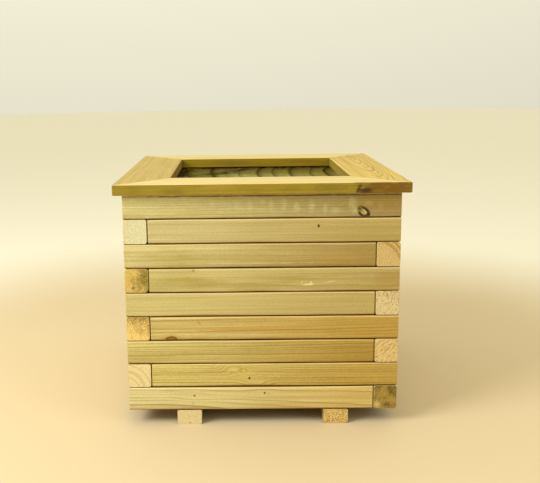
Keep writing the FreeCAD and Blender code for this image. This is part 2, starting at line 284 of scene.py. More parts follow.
NOISE_MIDDLE = 0.5
SEED_SPREAD = 5000
WOBBLE_SIZE = (240, 45, 45)
FIBRE_SIZE = (240, 1.8, 1.8)
THREAD_SIZE = (420, 3.4, 3.4)
PORE_SIZE = (4, 1.8, 1.8)
GRAIN_SIZES = (FIBRE_SIZE, THREAD_SIZE, PORE_SIZE)
GRAIN_SHARES = ((0.91, 1.07), (0.94, 1.05), (0.91, 1.07))
GRAIN_RISE = (0.25, 0.75)
BAND_SIZE = (500, 7, 7)
BAND_RISE = (0.45, 0.75)
BAND_SHARE = 0.3
STAIN_SIZE = (110, 22, 22)
STAIN_RISE = (0.4, 0.7)
RAGGED_SIZE = (14, 4, 4)
SPECK_SIZE = (2.2, 2.2, 2.2)
PALE_SPECK_FALL = (0.3, 0.44)
TORN_SPECK_RISE = (0.54, 0.68)
STROKE_SIZE = (9, 9, 1.3)
STROKE_RISE = (0.5, 0.68)
DAMP_SIZE = (16, 16, 16)
DAMP_RISE = (0.3, 0.8)

# Wood: rings, and marks and knots with shares of their half sizes

RING_STOPS = ((0.0, 0.0), (0.5, 0.08), (0.78, 0.45), (0.92, 1.0), (1.0, 0.0))
FAINT_RING_SHARE = 0.35
UNEVEN_RING_SHARE = 1.3
UNEVEN_RING_SIZE = (16, 1, 1)
ARC_WIDTH = (0.4, 1.6)

MARK_DEPTH = 6
END_MARK_LENGTH_SHARE = 6
MARK_FADE_SHARES = (0.1, 1.0)
MARK_RAGGED_SHARE = 1.2

KNOT_GRIP_SHARE = 0.92
KNOT_RAGGED_SHARE = 0.3
KNOT_RINGS = 11.0
KNOT_RING_SHARE = 0.4
KNOT_EDGE_SHARES = (1.0, 1.2)
HALO_REACH_SHARES = (0.9, 2.4)
HALO_TINT_SHARE = 0.45
RIM_PLACE_SHARE = 1.1
RIM_BREAK_RISE = (0.3, 0.5)
BROKEN_RIM_SHARE = 0.25

# Wood: worn edges with a painted highlight above and painted shade below, from 0 facing down to 1 facing
# up

RUBBED_AND_LIT_STOPS = ((0.55, 0.0), (0.65, 1.0), (0.85, 1.0), (0.97, 0.0))
BROWNED_AND_SHADED_STOPS = ((0.03, 0.0), (0.15, 1.0), (0.3, 1.0), (0.4, 0.0))

# Wood: how squarely a surface faces up or down, across the timber and along it

# Faces turned up or down take seam dirt with painted shade.
SEAM_DIRT_AND_SHADE_RISE = (0.62, 0.85)
NARROW_RISE = (0.5, 0.8)
END_RISE = (0.75, 0.95)

# Wood: relief and gloss

RING_RELIEF_SHARE = 0.1
FIBRE_RELIEF_SHARE = 0.2
SPECK_RELIEF_SHARE = 0.8
RELIEF_STRENGTH = 0.7
RELIEF_DEPTH = 1 * MM
ROUGHNESS_RISE = (0.2, 0.8)
ROUGHNESS = (0.55, 0.75)
SPECULAR_LEVEL = 0.25


def spot_distance(graph, place, spot, wide, high, size):
    """Distance from the middle of a knot or mark, in the given half sizes."""
    if spot.face == "top":
        middle = (spot.along, spot.up, size.z / MM / 2)
        reach = (wide, high, MARK_DEPTH)
        turn = (0, 0, math.radians(spot.turn))
    elif spot.face == "end":
        middle = (0, spot.along, spot.up)
        reach = (size.x / MM * END_MARK_LENGTH_SHARE, wide, high)
        turn = (math.radians(spot.turn), 0, 0)
    else:
        side = 1 if spot.face == "inner" else -1
        middle = (spot.along, side * size.y / MM / 2, spot.up)
        reach = (wide, MARK_DEPTH, high)
        turn = (0, -math.radians(spot.turn), 0)
    own = graph.add("ShaderNodeMapping", place, middle, turn, reach, vector_type="TEXTURE")
    return graph.vector("LENGTH", own)


def swept_place(graph, place, knots, size):
    """The place in the timber, drawn towards each knot, so that the rings flow round it."""
    along, across, up = graph.split(place)
    for knot in knots:
        distance = spot_distance(graph, place, knot, *knot.sweep, size)
        grip = graph.ramp(distance, 0.0, 1.0, KNOT_GRIP_SHARE, 0.0)
        if knot.face == "top":
            across = graph.math("MULTIPLY_ADD", graph.math("SUBTRACT", knot.up, across), grip, across)
        else:
            up = graph.math("MULTIPLY_ADD", graph.math("SUBTRACT", knot.up, up), grip, up)
    return graph.join(along, across, up)


def ring_radius(graph, place, seeded, wood):
    """Distance from a pith line that leans and wanders."""
    cloud = graph.noise(seeded, WOBBLE_SIZE, output=CLOUD_COLOUR_OUTPUT)
    centred = graph.vector("SUBTRACT", cloud, (NOISE_MIDDLE,) * 3)
    moved = graph.vector("MULTIPLY_ADD", centred, (2 * wood.wander,) * 3, place)
    along, across, up = graph.split(moved)
    squares = []
    for part, pith, lean in zip((across, up), wood.pith, wood.lean):
        line = graph.math("MULTIPLY_ADD", along, lean * MM, pith)
        off_line = graph.math("ABSOLUTE", graph.math("SUBTRACT", part, line))
        squares.append(graph.math("POWER", off_line, 2.0))
    return graph.math("SQRT", graph.math("ADD", *squares))


def late_wood(graph, radius, seed, wood):
    """Late wood, 0 to 1, in rings of uneven width and strength."""
    uneven = graph.noise(graph.join(radius, seed, seed), UNEVEN_RING_SIZE)
    moved = graph.math("MULTIPLY_ADD", uneven, 2 * wood.ring * UNEVEN_RING_SHARE, radius)
    rings = graph.math("DIVIDE", moved, wood.ring)
    chance = graph.add("ShaderNodeTexWhiteNoise", graph.math("FLOOR", rings), noise_dimensions="1D")
    strength = graph.ramp(chance, 0.0, 1.0, FAINT_RING_SHARE, 1.0)
    return graph.math("MULTIPLY", graph.curve(graph.math("FRACT", rings), RING_STOPS), strength)


def planed_grain(graph, place, seeded, wood, late, size):
    """Colour of the planed faces before knots and marks, and the fibres in it."""
    grains = [graph.noise(seeded, grain_size, detail=3.0) for grain_size in GRAIN_SIZES]
    band = graph.noise(seeded, BAND_SIZE)
    stain = graph.noise(seeded, STAIN_SIZE, detail=4.0)
    half = size.x / MM / 2
    # Towards the right end: a browner tone with painted shade in it.
    to_far_end = graph.ramp(graph.split(place)[0], -half, half, 0.0, wood.far_tone_and_shade_share)
    tone = graph.mix(to_far_end, wood.early, wood.far)
    tone = graph.mix(graph.ramp(band, *BAND_RISE, 0.0, BAND_SHARE), tone, wood.late)
    tone = graph.mix(graph.ramp(stain, *STAIN_RISE, 0.0, wood.stain_share), tone, wood.stain)
    tone = graph.mix(graph.math("MULTIPLY", late, wood.late_share), tone, wood.late)
    for grain, shares in zip(grains, GRAIN_SHARES):
        shade = graph.ramp(grain, *GRAIN_RISE, *shares)
        tone = graph.mix(1.0, tone, graph.join(shade, shade, shade), "MULTIPLY")
    return tone, grains[0]


def with_marks(graph, place, seeded, marks, tone, size):
    """Stains, scuffs and painted shadows with ragged rims."""
    ragged = graph.math("SUBTRACT", graph.noise(seeded, RAGGED_SIZE, detail=3.0), NOISE_MIDDLE)
    for mark in marks:
        plain = spot_distance(graph, place, mark, mark.wide, mark.high, size)
        distance = graph.math("MULTIPLY_ADD", ragged, MARK_RAGGED_SHARE, plain)
        tone = graph.mix(graph.ramp(distance, *MARK_FADE_SHARES, mark.share, 0.0), tone, mark.tint)
    return tone


def with_knots(graph, place, seeded, wood, tone, size):
    """Knots with small rings of their own, a dark broken rim and a warmer halo."""
    patchy = graph.noise(seeded, RAGGED_SIZE, detail=2.0)
    for knot in wood.knots:
        plain = spot_distance(graph, place, knot, knot.wide, knot.high, size)
        distance = graph.math("MULTIPLY_ADD", patchy, KNOT_RAGGED_SHARE, plain)
        tone = graph.mix(graph.ramp(distance, *HALO_REACH_SHARES, HALO_TINT_SHARE, 0.0), tone, wood.late)
        wave = graph.math("SINE", graph.math("MULTIPLY", distance, KNOT_RINGS))
        core = graph.mix(graph.ramp(wave, 0.0, 1.0, 0.0, KNOT_RING_SHARE), knot.core, wood.late)
        tone = graph.mix(graph.ramp(distance, *KNOT_EDGE_SHARES, 1.0, 0.0), tone, core)
        off_rim = graph.math("ABSOLUTE", graph.math("SUBTRACT", distance, RIM_PLACE_SHARE))
        rim_fade_shares = (knot.rim_width_share / 2, knot.rim_width_share)
        whole_rim = graph.ramp(off_rim, *rim_fade_shares, knot.rim_share, 0.0)
        breaks = graph.ramp(patchy, *RIM_BREAK_RISE, BROKEN_RIM_SHARE, 1.0)
        tone = graph.mix(graph.math("MULTIPLY", whole_rim, breaks), tone, knot.rim)
    return tone


def from_side(graph, cloud, place, side, size):
    """The cloud with a rise towards one side of a sawn end."""
    slope = Vector((0, *side)) * MM / size.z
    return graph.math("ADD", cloud, graph.vector("DOT_PRODUCT", place, slope))


def sawn_grain(graph, place, seeded, end, radius, late, size):
    """Colour of a sawn end, and the torn fibres in it."""
    speck = graph.noise(seeded, SPECK_SIZE, detail=2.0)
    turned = graph.add("ShaderNodeMapping", seeded, (0, 0, 0), (math.radians(end.saw_turn), 0, 0))
    stroke = graph.noise(turned, STROKE_SIZE)
    cloud = graph.noise(seeded, DAMP_SIZE, detail=3.0)
    tone = graph.mix(graph.math("MULTIPLY", late, end.line_share), end.tint, end.line)
    for arc in end.arcs:
        off_arc = graph.math("ABSOLUTE", graph.math("SUBTRACT", radius, arc))
        tone = graph.mix(graph.ramp(off_arc, *ARC_WIDTH, end.arc_share, 0.0), tone, end.line)
    damp = from_side(graph, cloud, place, end.damp_side, size)
    tone = graph.mix(graph.ramp(damp, *DAMP_RISE, 0.0, end.damp_share), tone, end.damp)
    tone = graph.mix(graph.ramp(stroke, *STROKE_RISE, 0.0, end.saw_share), tone, end.line)
    tone = graph.mix(graph.ramp(speck, *PALE_SPECK_FALL, end.fleck_share, 0.0), tone, SCUFF)
    torn = from_side(graph, speck, place, end.fleck_side, size)
    tone = graph.mix(graph.ramp(torn, *TORN_SPECK_RISE, 0.0, end.fleck_share), tone, end.fleck)
    return with_marks(graph, place, seeded, end.marks, tone, size), speck


def edge_wear_and_painted_light(graph, wood, tone, normal):
    """Upper edges worn pale with a painted highlight, lower edges brown with damp and painted shade, and
    dirt and painted shade where the timbers meet.
    """
    upward = graph.split(normal)[2]
    height = graph.add("ShaderNodeMapRange", upward, -1.0, 1.0, 0.0, 1.0)
    # Painted highlight on the upper edges, with their wear.
    rubbed_and_lit = graph.math("MULTIPLY", graph.curve(height, RUBBED_AND_LIT_STOPS), wood.rubbed_and_lit_share)
    tone = graph.mix(rubbed_and_lit, tone, CREAM)
    # Painted shade on the lower edges, with their damp.
    browned = graph.math("MULTIPLY", graph.curve(height, BROWNED_AND_SHADED_STOPS), wood.browned_share)
    tone = graph.mix(browned, tone, AMBER)
    # Painted shade where the timbers meet, with their dirt.
    seam = graph.ramp(graph.math("ABSOLUTE", upward), *SEAM_DIRT_AND_SHADE_RISE, 0.0, wood.dirt_and_shade_share)
    return graph.mix(seam, tone, BARK)


def facing(graph, normal, axis, rise):
    """How far the surface faces along an axis either way, 0 to 1."""
    along_axis = graph.math("ABSOLUTE", graph.vector("DOT_PRODUCT", normal, axis))
    return graph.ramp(along_axis, *rise)


def wood_relief(graph, late, fibre, speck, is_end):
    """Raised rings and fibres on the faces, and torn fibres on the ends."""
    fibres = graph.math("MULTIPLY", fibre, FIBRE_RELIEF_SHARE)
    planed = graph.math("MULTIPLY_ADD", late, RING_RELIEF_SHARE, fibres)
    torn = graph.math("MULTIPLY", speck, SPECK_RELIEF_SHARE)
    height = graph.add("ShaderNodeMix", is_end, planed, torn)
    return graph.bump(height, RELIEF_STRENGTH, RELIEF_DEPTH)


def wood_material(name, wood, centre, turn, size):
    """A whole timber: rings through it, planed faces, and ends sawn across the grain."""
    graph = Graph(bpy.data.materials.new(name))
    grain_axis = Vector((math.cos(turn), math.sin(turn), 0))
    across_axis = Vector((-math.sin(turn), math.cos(turn), 0))
    origin = centre - grain_axis * centre.dot(grain_axis)
    normal = graph.normal()
    frame_of_timber = (origin, (0, 0, turn), (MM, MM, MM))
    place = graph.add("ShaderNodeMapping", graph.here(), *frame_of_timber, vector_type="TEXTURE")
    seed = random.Random(name).random() * SEED_SPREAD
    seeded = graph.vector("ADD", place, (seed, seed, seed))
    radius = ring_radius(graph, swept_place(graph, place, wood.knots, size), seeded, wood)
    late = late_wood(graph, radius, seed, wood)
    tone, fibre = planed_grain(graph, place, seeded, wood, late, size)
    is_narrow = facing(graph, normal, across_axis, NARROW_RISE)
    tone = graph.mix(is_narrow, tone, graph.mix(1.0, tone, wood.narrow, "MULTIPLY"))
    tone = with_knots(graph, place, seeded, wood, tone, size)
    tone = with_marks(graph, place, seeded, wood.marks, tone, size)
    tone = edge_wear_and_painted_light(graph, wood, tone, normal)
    sawn, speck = sawn_grain(graph, place, seeded, wood.end, radius, late, size)
    is_end = facing(graph, normal, grain_axis, END_RISE)
    graph.shade(
        Base_Color=graph.mix(is_end, tone, sawn),
        Roughness=graph.ramp(fibre, *ROUGHNESS_RISE, *ROUGHNESS),
        Specular_IOR_Level=SPECULAR_LEVEL,
        Normal=wood_relief(graph, late, fibre, speck, is_end),
    )
    return graph.owner


# Timber meshes

ARC_STEPS = 6
FLAT_STEPS = 4
STATION_GAP = 9 * MM
ARRIS = 0.5 * MM
SAW_LOSS = 0.4 * MM
RIPPLE = 0.25 * MM
RIPPLE_LENGTH = 110 * MM
RIPPLE_SPREAD = 3
EASE_LENGTH = 70 * MM
EASE_SPREAD = 7
BOW = 0.3 * MM
CORNERS = ((1, 1), (-1, 1), (-1, -1), (1, -1))
SHARP_ANGLE = math.radians(30)


def section(depth, height, radii):
    """Points round a rounded rectangle, anticlockwise from its +Y side, each with its outward normal."""
    arcs = []
    for corner, (side_y, side_z) in enumerate(CORNERS):
        radius = radii[corner]
        middle = Vector((side_y * (depth / 2 - radius), side_z * (height / 2 - radius)))
        for step in range(ARC_STEPS + 1):
            angle = (corner + step / ARC_STEPS) * QUARTER_TURN
            normal = Vector((math.cos(angle), math.sin(angle)))
            arcs.append((middle + normal * radius, normal))
    points = []
    for index, (point, normal) in enumerate(arcs):
        points.append((point, normal))
        if index % (ARC_STEPS + 1) == ARC_STEPS:
            following = arcs[(index + 1) % len(arcs)][0]
            for step in range(1, FLAT_STEPS):
                points.append((point.lerp(following, step / FLAT_STEPS), normal))
    return points


def stations(length):
    """Places along a timber, each with how far the sawn arris draws the section in."""
    half = length / 2 - SAW_LOSS
    count = round(length / STATION_GAP)
    run = 2 * (half - ARRIS)
    between = [(ARRIS - half + run * step / count, 0) for step in range(count + 1)]
    return [(-half, ARRIS), *between, (half, ARRIS)]


def skin(name, verts, rows):
    """A closed mesh over rows of as many points each, with a flat face at both ends."""
    around = len(verts) // rows
    faces = [tuple(range(around)), tuple(reversed(range(len(verts) - around, len(verts))))]
    for row in range(rows - 1):
        near = row * around
        far = near + around
        for i in range(around):
            j = (i + 1) % around
            faces.append((near + i, far + i, far + j, near + j))
    mesh = bpy.data.meshes.new(name)
    mesh.from_pydata(verts, [], faces)
    mesh.shade_smooth()
    mesh.set_sharp_from_angle(angle=SHARP_ANGLE)
    return mesh


def timber_mesh(name, size, radius, ease_share, mitred):
    """A length of planed timber about its own middle: X along it, -Y its outer face."""
    chance = random.Random(name)
    seed = Vector([chance.random() * SEED_SPREAD * MM for _ in range(3)])
    bow_y, bow_z = [chance.uniform(-BOW, BOW) for _ in range(2)]
    half = size.x / 2
    verts = []
    rows = stations(size.x)
    for x, inset in rows:
        radii = []
        for corner in range(len(CORNERS)):
            ease = noise.noise(seed + Vector((x / EASE_LENGTH, corner * EASE_SPREAD, 0)))
            radii.append(radius * (1 + ease_share * ease))
        bend = 1 - (x / half) ** 2
        for point, normal in section(size.y, size.z, radii):
            round_place = normal * RIPPLE_SPREAD
            ripple = noise.noise(seed + Vector((x / RIPPLE_LENGTH, *round_place)))
            y, z = point - normal * (inset + RIPPLE * (1 + ripple) / 2)
            shortened = (point.x + size.y / 2) / half if mitred else 0
            verts.append((x * (1 - shortened), y + bow_y * bend, z + bow_z * bend))
    return skin(name, verts, len(rows))


def timber_place(node, side):
    """Centre of a node, its turn about the upright, and its length, depth and height."""
    low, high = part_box(node)
    extent = high - low
    size = extent if side in ("front", "back") else extent.yxz
    return (low + high) / 2, QUARTER_TURN * SIDES.index(side), size


def timber(node, side, ease_share, wood, mitred=False):
    """Stands for a CAD node: the same place and size, with a real timber's uneven edges."""
    centre, turn, size = timber_place(node, side)
    mesh = timber_mesh(node, size, wood.radius * MM, ease_share, mitred)
    mesh.transform(Matrix.Translation(centre) @ Matrix.Rotation(turn, 4, "Z"))
    mesh.materials.append(wood_material(node, wood, centre, turn, size))
    piece = bpy.data.objects.new(f"{node}_timber", mesh)
    bpy.context.scene.collection.objects.link(piece)
    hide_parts(node)
    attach(piece, "root")


def dress(node, material):
    """Puts a material on a CAD node that is shown as it is."""
    mesh = frame["nodes"][node].data
    mesh.materials.clear()
    mesh.materials.append(material)


# Chance timbers, for the sides that don't show

EARLY_TONES = (
    STRAW, colour(206, 194, 134), colour(196, 181, 118), colour(210, 193, 122), colour(202, 180, 106),
)
END_TONES = (
    CREAM, colour(214, 206, 160), colour(206, 176, 98), colour(226, 208, 152), colour(204, 178, 112),
)
KNOT_COUNTS = (0, 0, 1, 1, 2)
KNOT_ALONG = (-190, 190)
KNOT_UP = (-12, 12)
KNOT_WIDE = (2, 9)
KNOT_HIGH = (2, 6)
KNOT_TURN = (-30, 30)
LINE_SHARES = (0.3, 0.7)
FLECK_SHARES = (0.1, 0.5)
SAW_SHARES = (0.1, 0.5)
SAW_TURN = (-60, 60)
DAMP_SHARES = (0, 0, 0.3, 0.6)
PITH_ACROSS = (-60, 120)
PITH_AWAY = (25, 120)
LEAN = (-60, 60)
RING = (3, 6)
LATE_SHARES = (0.4, 0.8)
STAIN_SHARES = (0.15, 0.5)


def chance_knot(chance):
    ranges = (KNOT_ALONG, KNOT_UP, KNOT_WIDE, KNOT_HIGH, KNOT_TURN)
    return Knot(*(chance.uniform(*limits) for limits in ranges))


def chance_wood(name):
    """A timber like its neighbours, with a chance pith, colour, knots and sawn ends."""
    chance = random.Random(name)
    knots = tuple(chance_knot(chance) for _ in range(chance.choice(KNOT_COUNTS)))
    end = SawnEnd(
        line_share=chance.uniform(*LINE_SHARES),
        fleck_share=chance.uniform(*FLECK_SHARES),
        saw_share=chance.uniform(*SAW_SHARES),
        saw_turn=chance.uniform(*SAW_TURN),
        damp_share=chance.choice(DAMP_SHARES),
    )
    return Wood(
        pith=(chance.uniform(*PITH_ACROSS), chance.choice((-1, 1)) * chance.uniform(*PITH_AWAY)),
        lean=(chance.uniform(*LEAN), chance.uniform(*LEAN)),
        ring=chance.uniform(*RING),
        late_share=chance.uniform(*LATE_SHARES),
        stain_share=chance.uniform(*STAIN_SHARES),
        knots=knots,
        early=chance.choice(EARLY_TONES),
        end=replace(end, tint=chance.choice(END_TONES)),
    )


# The timbers that show in front

# Half length of a mark that runs past both ends of any timber, and half height of one that covers a face.
WHOLE_LENGTH = 600
WHOLE_HEIGHT = 80

CAP_STAIN = colour(112, 78, 2)

# Along, up, half width, half height and strength of the pale spots on the top front rail.
BLEACHED_SPOTS = (
    (-228, 14, 9, 6, 0.3), (-138, 15, 10, 5, 0.12), (-88, 6, 8, 12, 0.12), (-45, 4, 9, 12, 0.14),
    (-20, 0, 7, 15, 0.15), (2, 8, 8, 10, 0.14), (17, 2, 6, 16, 0.18), (40, 2, 8, 15, 0.18),
    (62, -2, 9, 15, 0.2), (88, -2, 9, 17, 0.22), (112, -6, 7, 13, 0.18), (131, -10, 12, 9, 0.2),
    (160, 4, 10, 16, 0.24), (166, -10, 11, 9, 0.3), (190, 3, 11, 6, 0.2), (210, -2, 7, 12, 0.14),
)


def cap_board(**features):
    """A cap board, with sharper edges than a batten's, no worn pale edge with a painted highlight, and no
    seam above or below to hold dirt and painted shade.
    """
    return Wood(radius=1.6, rubbed_and_lit_share=0, dirt_and_shade_share=0, stain_share=0.15, **features)


# Each far colour here is a browner tone with painted shade in it, towards the right end.
FRONT_TIMBERS = {
    "course_9_front_rail": Wood(
        pith=(30, -110), ring=5, late_share=0.75, stain_share=0.3,
        early=colour(207, 197, 137), late=colour(142, 116, 44), far=colour(101, 61, 4), far_tone_and_shade_share=0.6,
        knots=(
            Knot(180, -12.5, 10.5, 7, turn=-38, sweep=(70, 19), core=colour(176, 160, 96),
                 rim_share=1.0, rim_width_share=0.4),
        ),
        marks=(
            *(Mark(*place, BLEACHED, share) for *place, share in BLEACHED_SPOTS),
            Mark(176, -10, 9, 2, BARK, 0.85, -38),
            Mark(189, -17, 6, 4, BARK, 0.9, -50),
            Mark(183, -13, 4, 1.4, SCUFF, 0.6, -30),
            Mark(215, 0, 70, 26, colour(150, 112, 6), 0.4),
            # Painted shadow of the cap along the top of the rail.
            Mark(0, 18.6, WHOLE_LENGTH, 2.8, colour(60, 38, 8), 0.8),
        ),
    ),
    "course_8_front_batten": Wood(
        pith=(0, -160), ring=4.2, late_share=0.5, stain_share=0.15,
        early=colour(200, 187, 133), late=colour(157, 132, 64), far=colour(164, 133, 46), far_tone_and_shade_share=0.6,
        knots=(Knot(101, 8, 1.7, 2.8, sweep=(20, 10), core=BARK),),
    ),
    "course_7_front_batten": Wood(
        pith=(40, -80), ring=7, late_share=0.45, stain_share=0.45,
        early=colour(204, 191, 132), late=colour(148, 121, 48), far=colour(137, 96, 4), far_tone_and_shade_share=0.7,
        marks=(
            Mark(-60, -2, 150, 9, OLIVE, 0.35),
            Mark(140, -3, 60, 10, HONEY, 0.3),
            Mark(-30, -14, 200, 1.2, SCUFF, 0.35),
        ),
    ),
    "course_6_front_batten": Wood(
        pith=(50, -40), ring=8, late_share=0.45, stain_share=0.45,
        early=colour(196, 181, 118), late=colour(140, 118, 51), far=colour(158, 122, 60), far_tone_and_shade_share=0.4,
        marks=(
            Mark(-140, 2, 60, 9, OLIVE, 0.3),
            Mark(20, 4, 70, 9, OLIVE, 0.25),
            Mark(84, -9, 18, 2.4, SCUFF, 0.6, 3),
            Mark(72, -5, 2, 4, SCUFF, 0.4),
            Mark(88, -6, 2.5, 4, SCUFF, 0.45),
            Mark(122, -4.6, 16, 1.8, SCUFF, 0.35, 10),
            Mark(133, 8, 9, 6, HONEY, 0.45),
            Mark(111, 4.7, 10, 5, HONEY, 0.4),
            Mark(-123, 19, 3.5, 3.5, BROWN, 0.85),
            Mark(230, 0, 50, 26, colour(150, 108, 12), 0.35),
        ),
    ),
    "course_5_front_batten": Wood(
        pith=(60, 80), ring=5, late_share=0.45, stain_share=0.15,
        early=colour(198, 183, 121), late=colour(160, 134, 68), far=colour(171, 140, 75), far_tone_and_shade_share=0.5,
    ),
    "course_4_front_batten": Wood(
        pith=(20, -120), lean=(0, 14), ring=5, late_share=0.9,
        early=colour(206, 188, 120), late=colour(149, 109, 33), far=colour(172, 126, 4), far_tone_and_shade_share=0.65,
        knots=(
            Knot(-166, -22, 11, 7, sweep=(34, 16), core=colour(134, 102, 28), rim=colour(96, 70, 16)),
        ),
        marks=(
            Mark(-30, -1.5, 200, 3, colour(194, 138, 44), 0.6, 1.5),
            Mark(-115, 11, 7, 2.6, OLIVE, 0.7, -40),
            Mark(-60, -12, 150, 3, SCUFF, 0.25),
            Mark(190, -13, 60, 2, AMBER, 0.5),
        ),
    ),
    "course_3_front_batten": Wood(
        pith=(0, -150), lean=(0, 10), ring=5.2, late_share=1.0,
        early=colour(209, 193, 122), late=colour(128, 97, 20), far=colour(158, 116, 4), far_tone_and_shade_share=0.75,
    ),
    "course_2_front_batten": Wood(
        pith=(40, -110), ring=4.6, late_share=1.0,
        early=colour(215, 199, 123), late=colour(138, 102, 23), far=colour(172, 124, 4), far_tone_and_shade_share=0.6,
        knots=(
            Knot(-24, -6, 1.5, 2, turn=-30, sweep=(90, 24), core=BARK),
            Knot(-34, 9, 5, 3, sweep=(24, 9), core=colour(206, 184, 92), rim_share=0.25),
        ),
        marks=(
            Mark(143, -6.4, 40, 2.5, AMBER, 0.35),
            Mark(-30, 4, 24, 8, colour(214, 198, 96), 0.4),
        ),
    ),
    "course_1_front_batten": Wood(
        pith=(50, -45), lean=(40, 30), ring=5, late_share=0.85, stain_share=0.15,
        early=colour(221, 209, 151), late=colour(152, 119, 48), far=colour(204, 161, 29), far_tone_and_shade_share=0.5,
        knots=(
            Knot(-126, 5.6, 1.5, 1.7, sweep=(60, 16), core=colour(150, 100, 34)),
            Knot(4, 10, 1.5, 1.7, sweep=(50, 14), core=BARK),
        ),
        marks=(
            Mark(-128, -10, 4, 4, HONEY, 0.4),
            Mark(12, 8, 4, 3, HONEY, 0.5),
        ),
    ),
}

INSIDE_TIMBERS = {
    "course_9_back_rail": Wood(
        pith=(-40, 6), lean=(-160, 0), ring=6.4, wander=7, late_share=0.95,
        # Painted light: the early wood is brighter than the wood, standing in for light inside the
        # planter.
        early=colour(255, 255, 161), late=colour(84, 74, 24),
        marks=(
            # The outer face painted back to an ordinary tone.
            Mark(0, 0, WHOLE_LENGTH, WHOLE_HEIGHT, STRAW, 0.85),
            Mark(40, 10, 60, 3.5, MOSS, 0.7, -5, "inner"),
            Mark(90, 3, 70, 4, MOSS, 0.7, -4, "inner"),
            # Painted shadow at the inner corner on the left as seen from the front.
            Mark(180, 4, 56, 26, BARK, 0.9, 0, "inner"),
            # Painted shadow of the cap's back board along the top of the inner face.
            Mark(0, 18, WHOLE_LENGTH, 5.5, BARK, 1.0, 0, "inner"),
        ),
    ),
}

SAWN_TIMBERS = {
    "course_8_left_batten": Wood(
        pith=(-70, -50), ring=3.2,
        end=SawnEnd(
            colour(211, 205, 164), OLIVE, line_share=0.25, saw_share=0.25, saw_turn=50,
            fleck=OLIVE, fleck_share=0.4, fleck_side=(-0.1, 0),
        ),
    ),
    "course_6_left_batten": Wood(
        pith=(-6, -12), ring=2.6, radius=6.5,
        end=SawnEnd(
            colour(208, 178, 96), colour(168, 128, 46), line_share=0.3, saw_share=0.3, saw_turn=60,
            fleck_share=0.3, damp=colour(112, 98, 10), damp_share=0.9, damp_side=(0.55, -0.1),
            marks=(
                Mark(-6, -12, 1.5, 7, BARK, 0.8, face="end"),
                Mark(-6, -13, 6, 1.5, BARK, 0.7, face="end"),
            ),
        ),
    ),
    "course_4_left_batten": Wood(
        pith=(-60, -60), ring=4,
        end=SawnEnd(
            colour(230, 200, 118), AMBER, line_share=0.2, saw_share=0.5, saw_turn=-50,
            fleck=MOSS, fleck_share=0.6, fleck_side=(0.05, 0.2),
            damp=colour(142, 110, 28), damp_share=0.75, damp_side=(0.1, 0.45),
        ),
    ),
    "course_2_left_batten": Wood(
        pith=(-31, -33), ring=8.5,
        end=SawnEnd(
            colour(225, 209, 155), colour(204, 160, 84), line_share=0.15, arcs=(31, 40, 43, 55),
            fleck_share=0.2, saw_share=0.15, saw_turn=30,
        ),
    ),
    "course_7_right_batten": Wood(
        pith=(29, -24), ring=6,
        end=SawnEnd(
            colour(200, 173, 108), colour(158, 116, 40), line_share=0.1, arcs=(50, 53, 59, 61),
            arc_share=0.8, fleck_share=0.35, saw_share=0.2, saw_turn=30,
        ),
    ),
    "course_5_right_batten": Wood(
        pith=(50, 40), ring=4.5,
        end=SawnEnd(
            colour(212, 192, 142), colour(176, 128, 72), line_share=0.2, saw_share=0.4, saw_turn=30,
            fleck=colour(148, 108, 58), fleck_share=0.8, fleck_side=(-0.05, 0.12),
        ),
    ),
    "course_3_right_batten": Wood(
        pith=(50, -60), ring=4,
        end=SawnEnd(
            colour(220, 193, 128), colour(150, 98, 36), line_share=0.2, saw_share=0.8, saw_turn=45,
            fleck_share=0.2,
        ),
    ),
    "course_1_right_batten": Wood(
        pith=(50, 40), ring=4,
        end=SawnEnd(
            colour(172, 142, 62), MOSS, line_share=0.2, saw_share=0.3, saw_turn=30,
            fleck=MOSS, fleck_share=0.4,
            damp=colour(104, 82, 0), damp_share=0.95, damp_side=(-0.2, 0.25),
            marks=(
                Mark(-3, -14, 13, 7, BARK, 0.6, face="end"),
                Mark(15, -13, 9, 10, CREAM, 0.45, face="end"),
            ),
        ),
    ),
    "left_runner": Wood(
        pith=(10, 30), ring=4,
        end=SawnEnd(
            colour(222, 206, 153), AMBER, line_share=0.15, fleck_share=0.18, saw_share=0.2, saw_turn=30,
            marks=(Mark(0, -11, 3, 2.5, MOSS, 0.8, face="end"),),
        ),
    ),
    "right_runner": Wood(
        pith=(-40, -20), ring=4,
        end=SawnEnd(
            colour(217, 184, 104), BROWN, line_share=0.2, fleck_share=0.95, saw_share=0.4, saw_turn=30,
        ),
    ),
}

